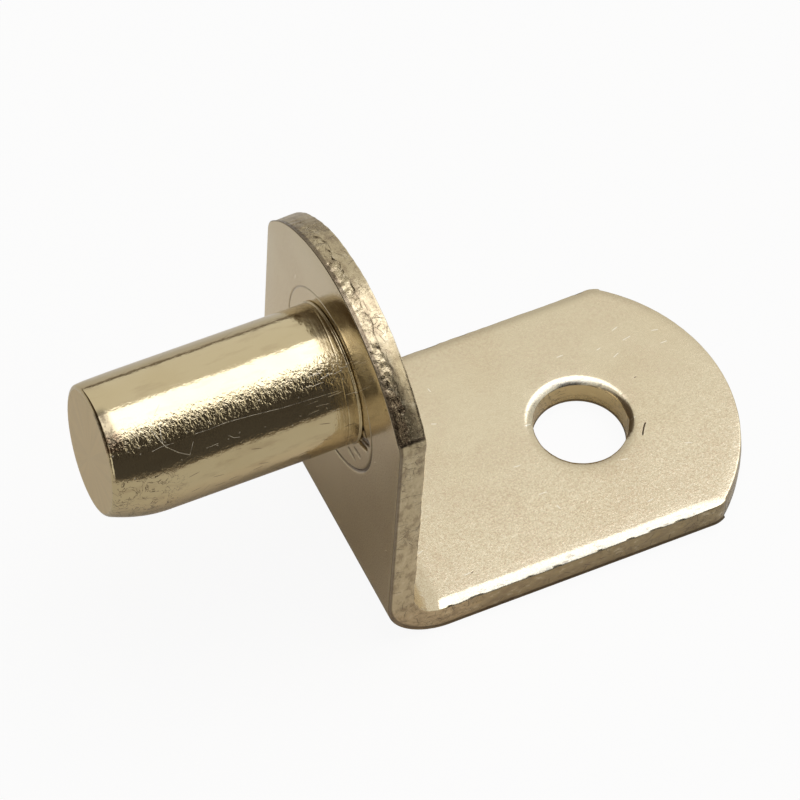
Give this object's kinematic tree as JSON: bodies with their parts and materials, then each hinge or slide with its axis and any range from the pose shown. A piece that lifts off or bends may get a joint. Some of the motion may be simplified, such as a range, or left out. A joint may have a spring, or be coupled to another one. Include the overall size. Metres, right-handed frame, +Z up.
{
  "type": "shelf support pin",
  "caption": "L-shaped shelf support: a round pin riveted to the upright of a folded steel strip with round ends and a screw hole.",
  "frame": {"origin": "where the pin's axis meets the upright's outer face, the plane that lies against the cabinet side", "axes": "+X along the flange away from the cabinet side (the pin points to -X), +Y across the strip, +Z up along the upright"},
  "size_m": [0.0312, 0.0132, 0.0184],
  "materials": {
    "bracket_plating": "pale brass plating on pressed sheet steel, satin, with a fine grain",
    "pin_plating": "pale brass plating on a turned steel pin, semi-bright, scuffed"
  },
  "bodies": {
    "root": {"bracket": "bracket_plating", "pin": "pin_plating"}
  },
  "joints": []
}
